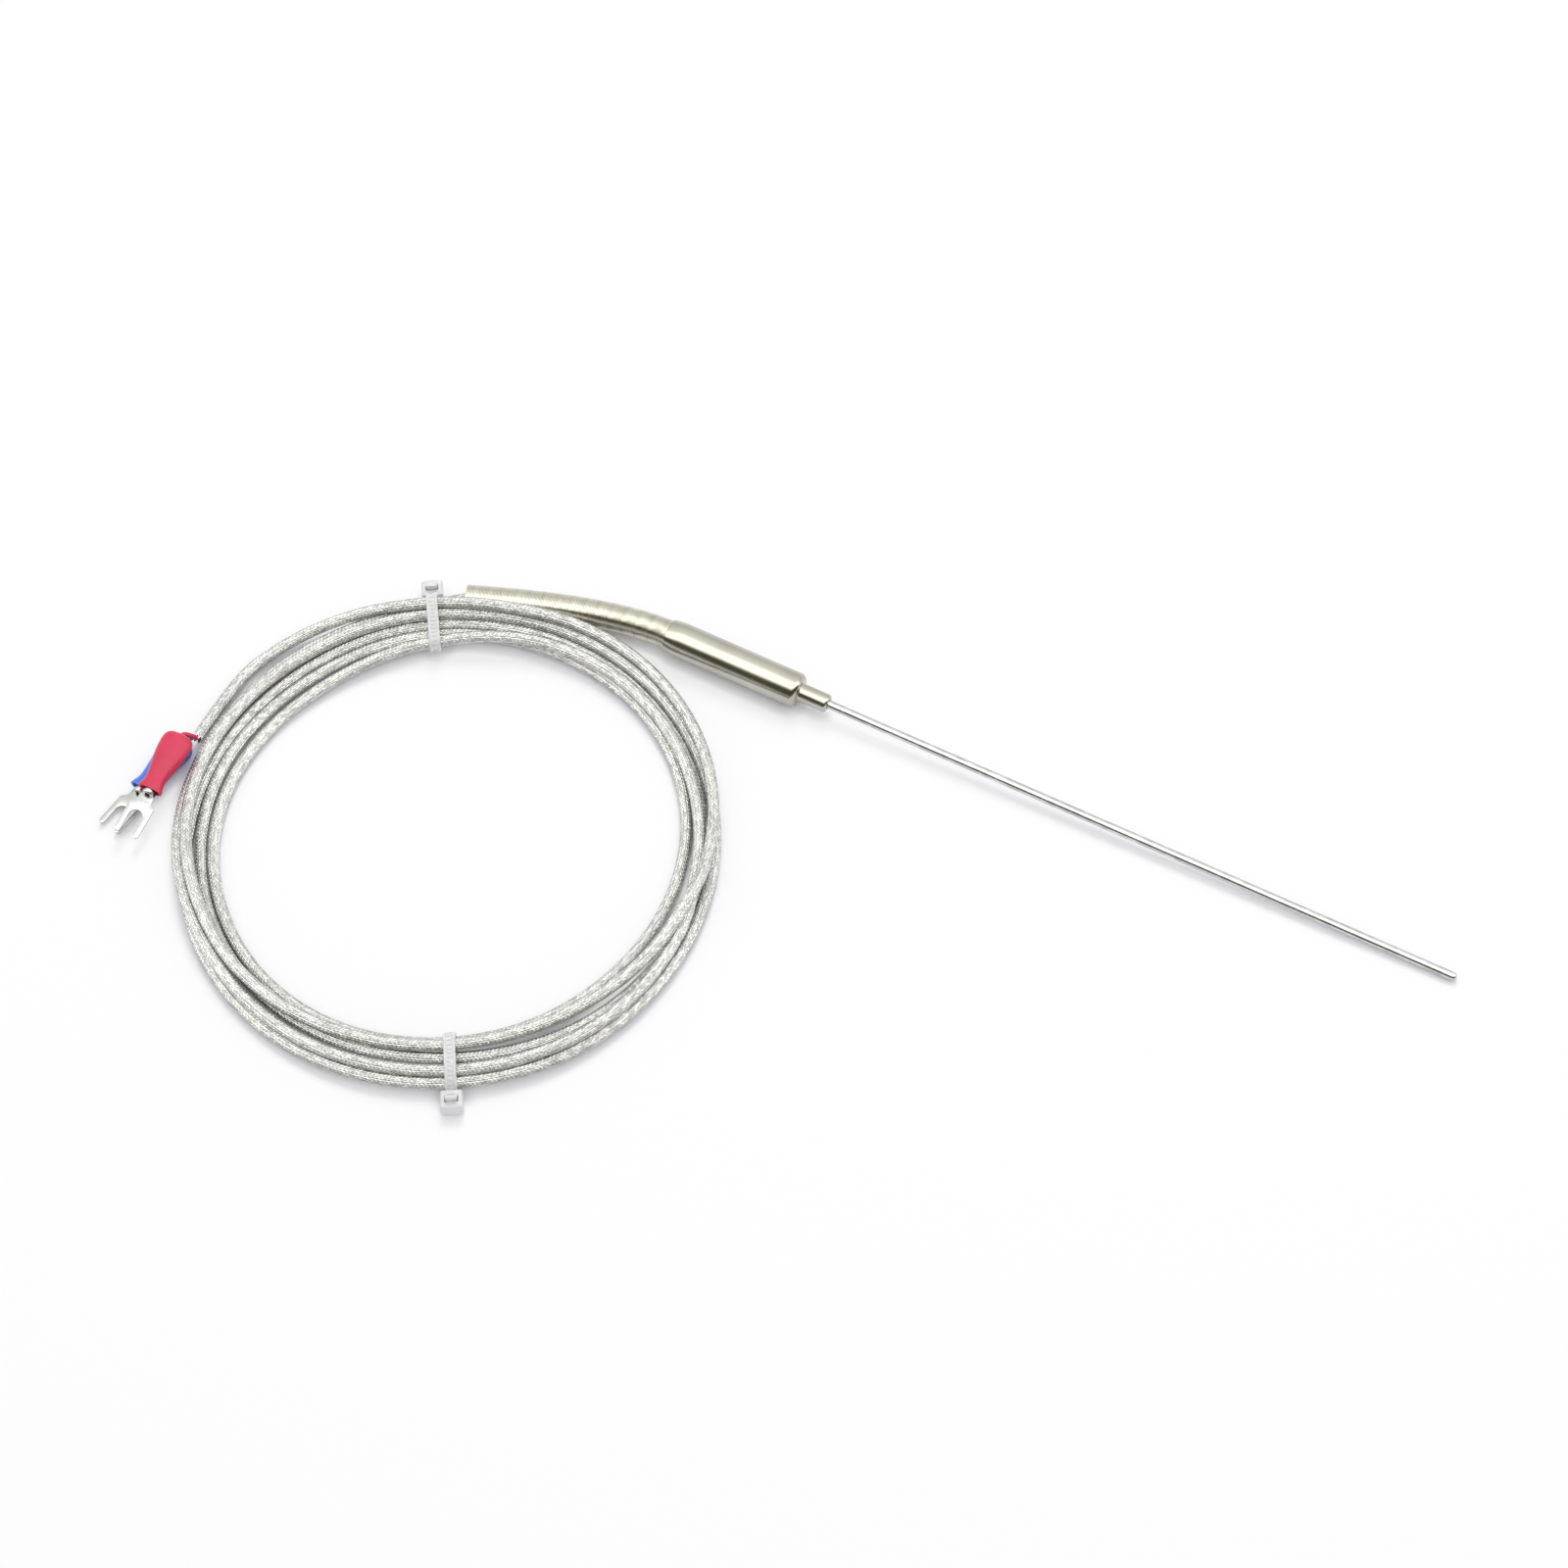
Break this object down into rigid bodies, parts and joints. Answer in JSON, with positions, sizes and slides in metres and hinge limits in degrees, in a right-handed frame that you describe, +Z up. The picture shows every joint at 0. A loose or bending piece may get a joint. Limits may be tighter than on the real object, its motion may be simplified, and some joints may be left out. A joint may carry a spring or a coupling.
{
  "type": "thermocouple probe",
  "caption": "Sheathed thermocouple probe with a stepped steel sleeve, a bent spring strain relief and a coiled, steel-braided lead that ends in insulated fork terminals.",
  "frame": {"origin": "On the surface that the probe lies on, below the middle of sheath and sleeve together. The lead, its coil and ties, the spring that bends with the lead and the terminals are left out of the claim.", "axes": "+X runs along the probe from the sleeve to the round measuring tip, +Y is across it, away from the coil, +Z is up. Units are metres."},
  "size_m": [0.2817, 0.1304, 0.0086],
  "materials": {
    "sleeve_steel": "bright turned",
    "sheath_steel": "bright drawn",
    "spring_steel": "bright drawn wire",
    "steel_braid": "woven wire",
    "thermoelement_alloy": "drawn wire",
    "tinned_copper": "tin plated",
    "red_insulation": "moulded",
    "blue_insulation": "moulded",
    "natural_nylon": "translucent moulded",
    "mineral": "pressed powder",
    "cement": "cast"
  },
  "bodies": {
    "root": {"cable_tie_bottom": "natural_nylon", "cable_tie_top": "natural_nylon", "conductor_blue": "blue_insulation", "conductor_red": "red_insulation", "fork_terminal_blue": "tinned_copper", "fork_terminal_red": "tinned_copper", "hot_junction": "thermoelement_alloy", "insulator_blue": "blue_insulation", "insulator_red": "red_insulation", "lead_coil": "steel_braid", "lead_core_negative": "blue_insulation", "lead_core_positive": "red_insulation", "lead_run": "steel_braid", "lead_tail": "steel_braid", "mineral_insulation": "mineral", "potting_cement": "cement", "probe_sheath": "sheath_steel", "splice_negative": "tinned_copper", "splice_positive": "tinned_copper", "strain_relief_spring": "spring_steel", "thermoelement_negative": "thermoelement_alloy", "thermoelement_positive": "thermoelement_alloy", "transition_sleeve": "sleeve_steel"}
  },
  "joints": []
}
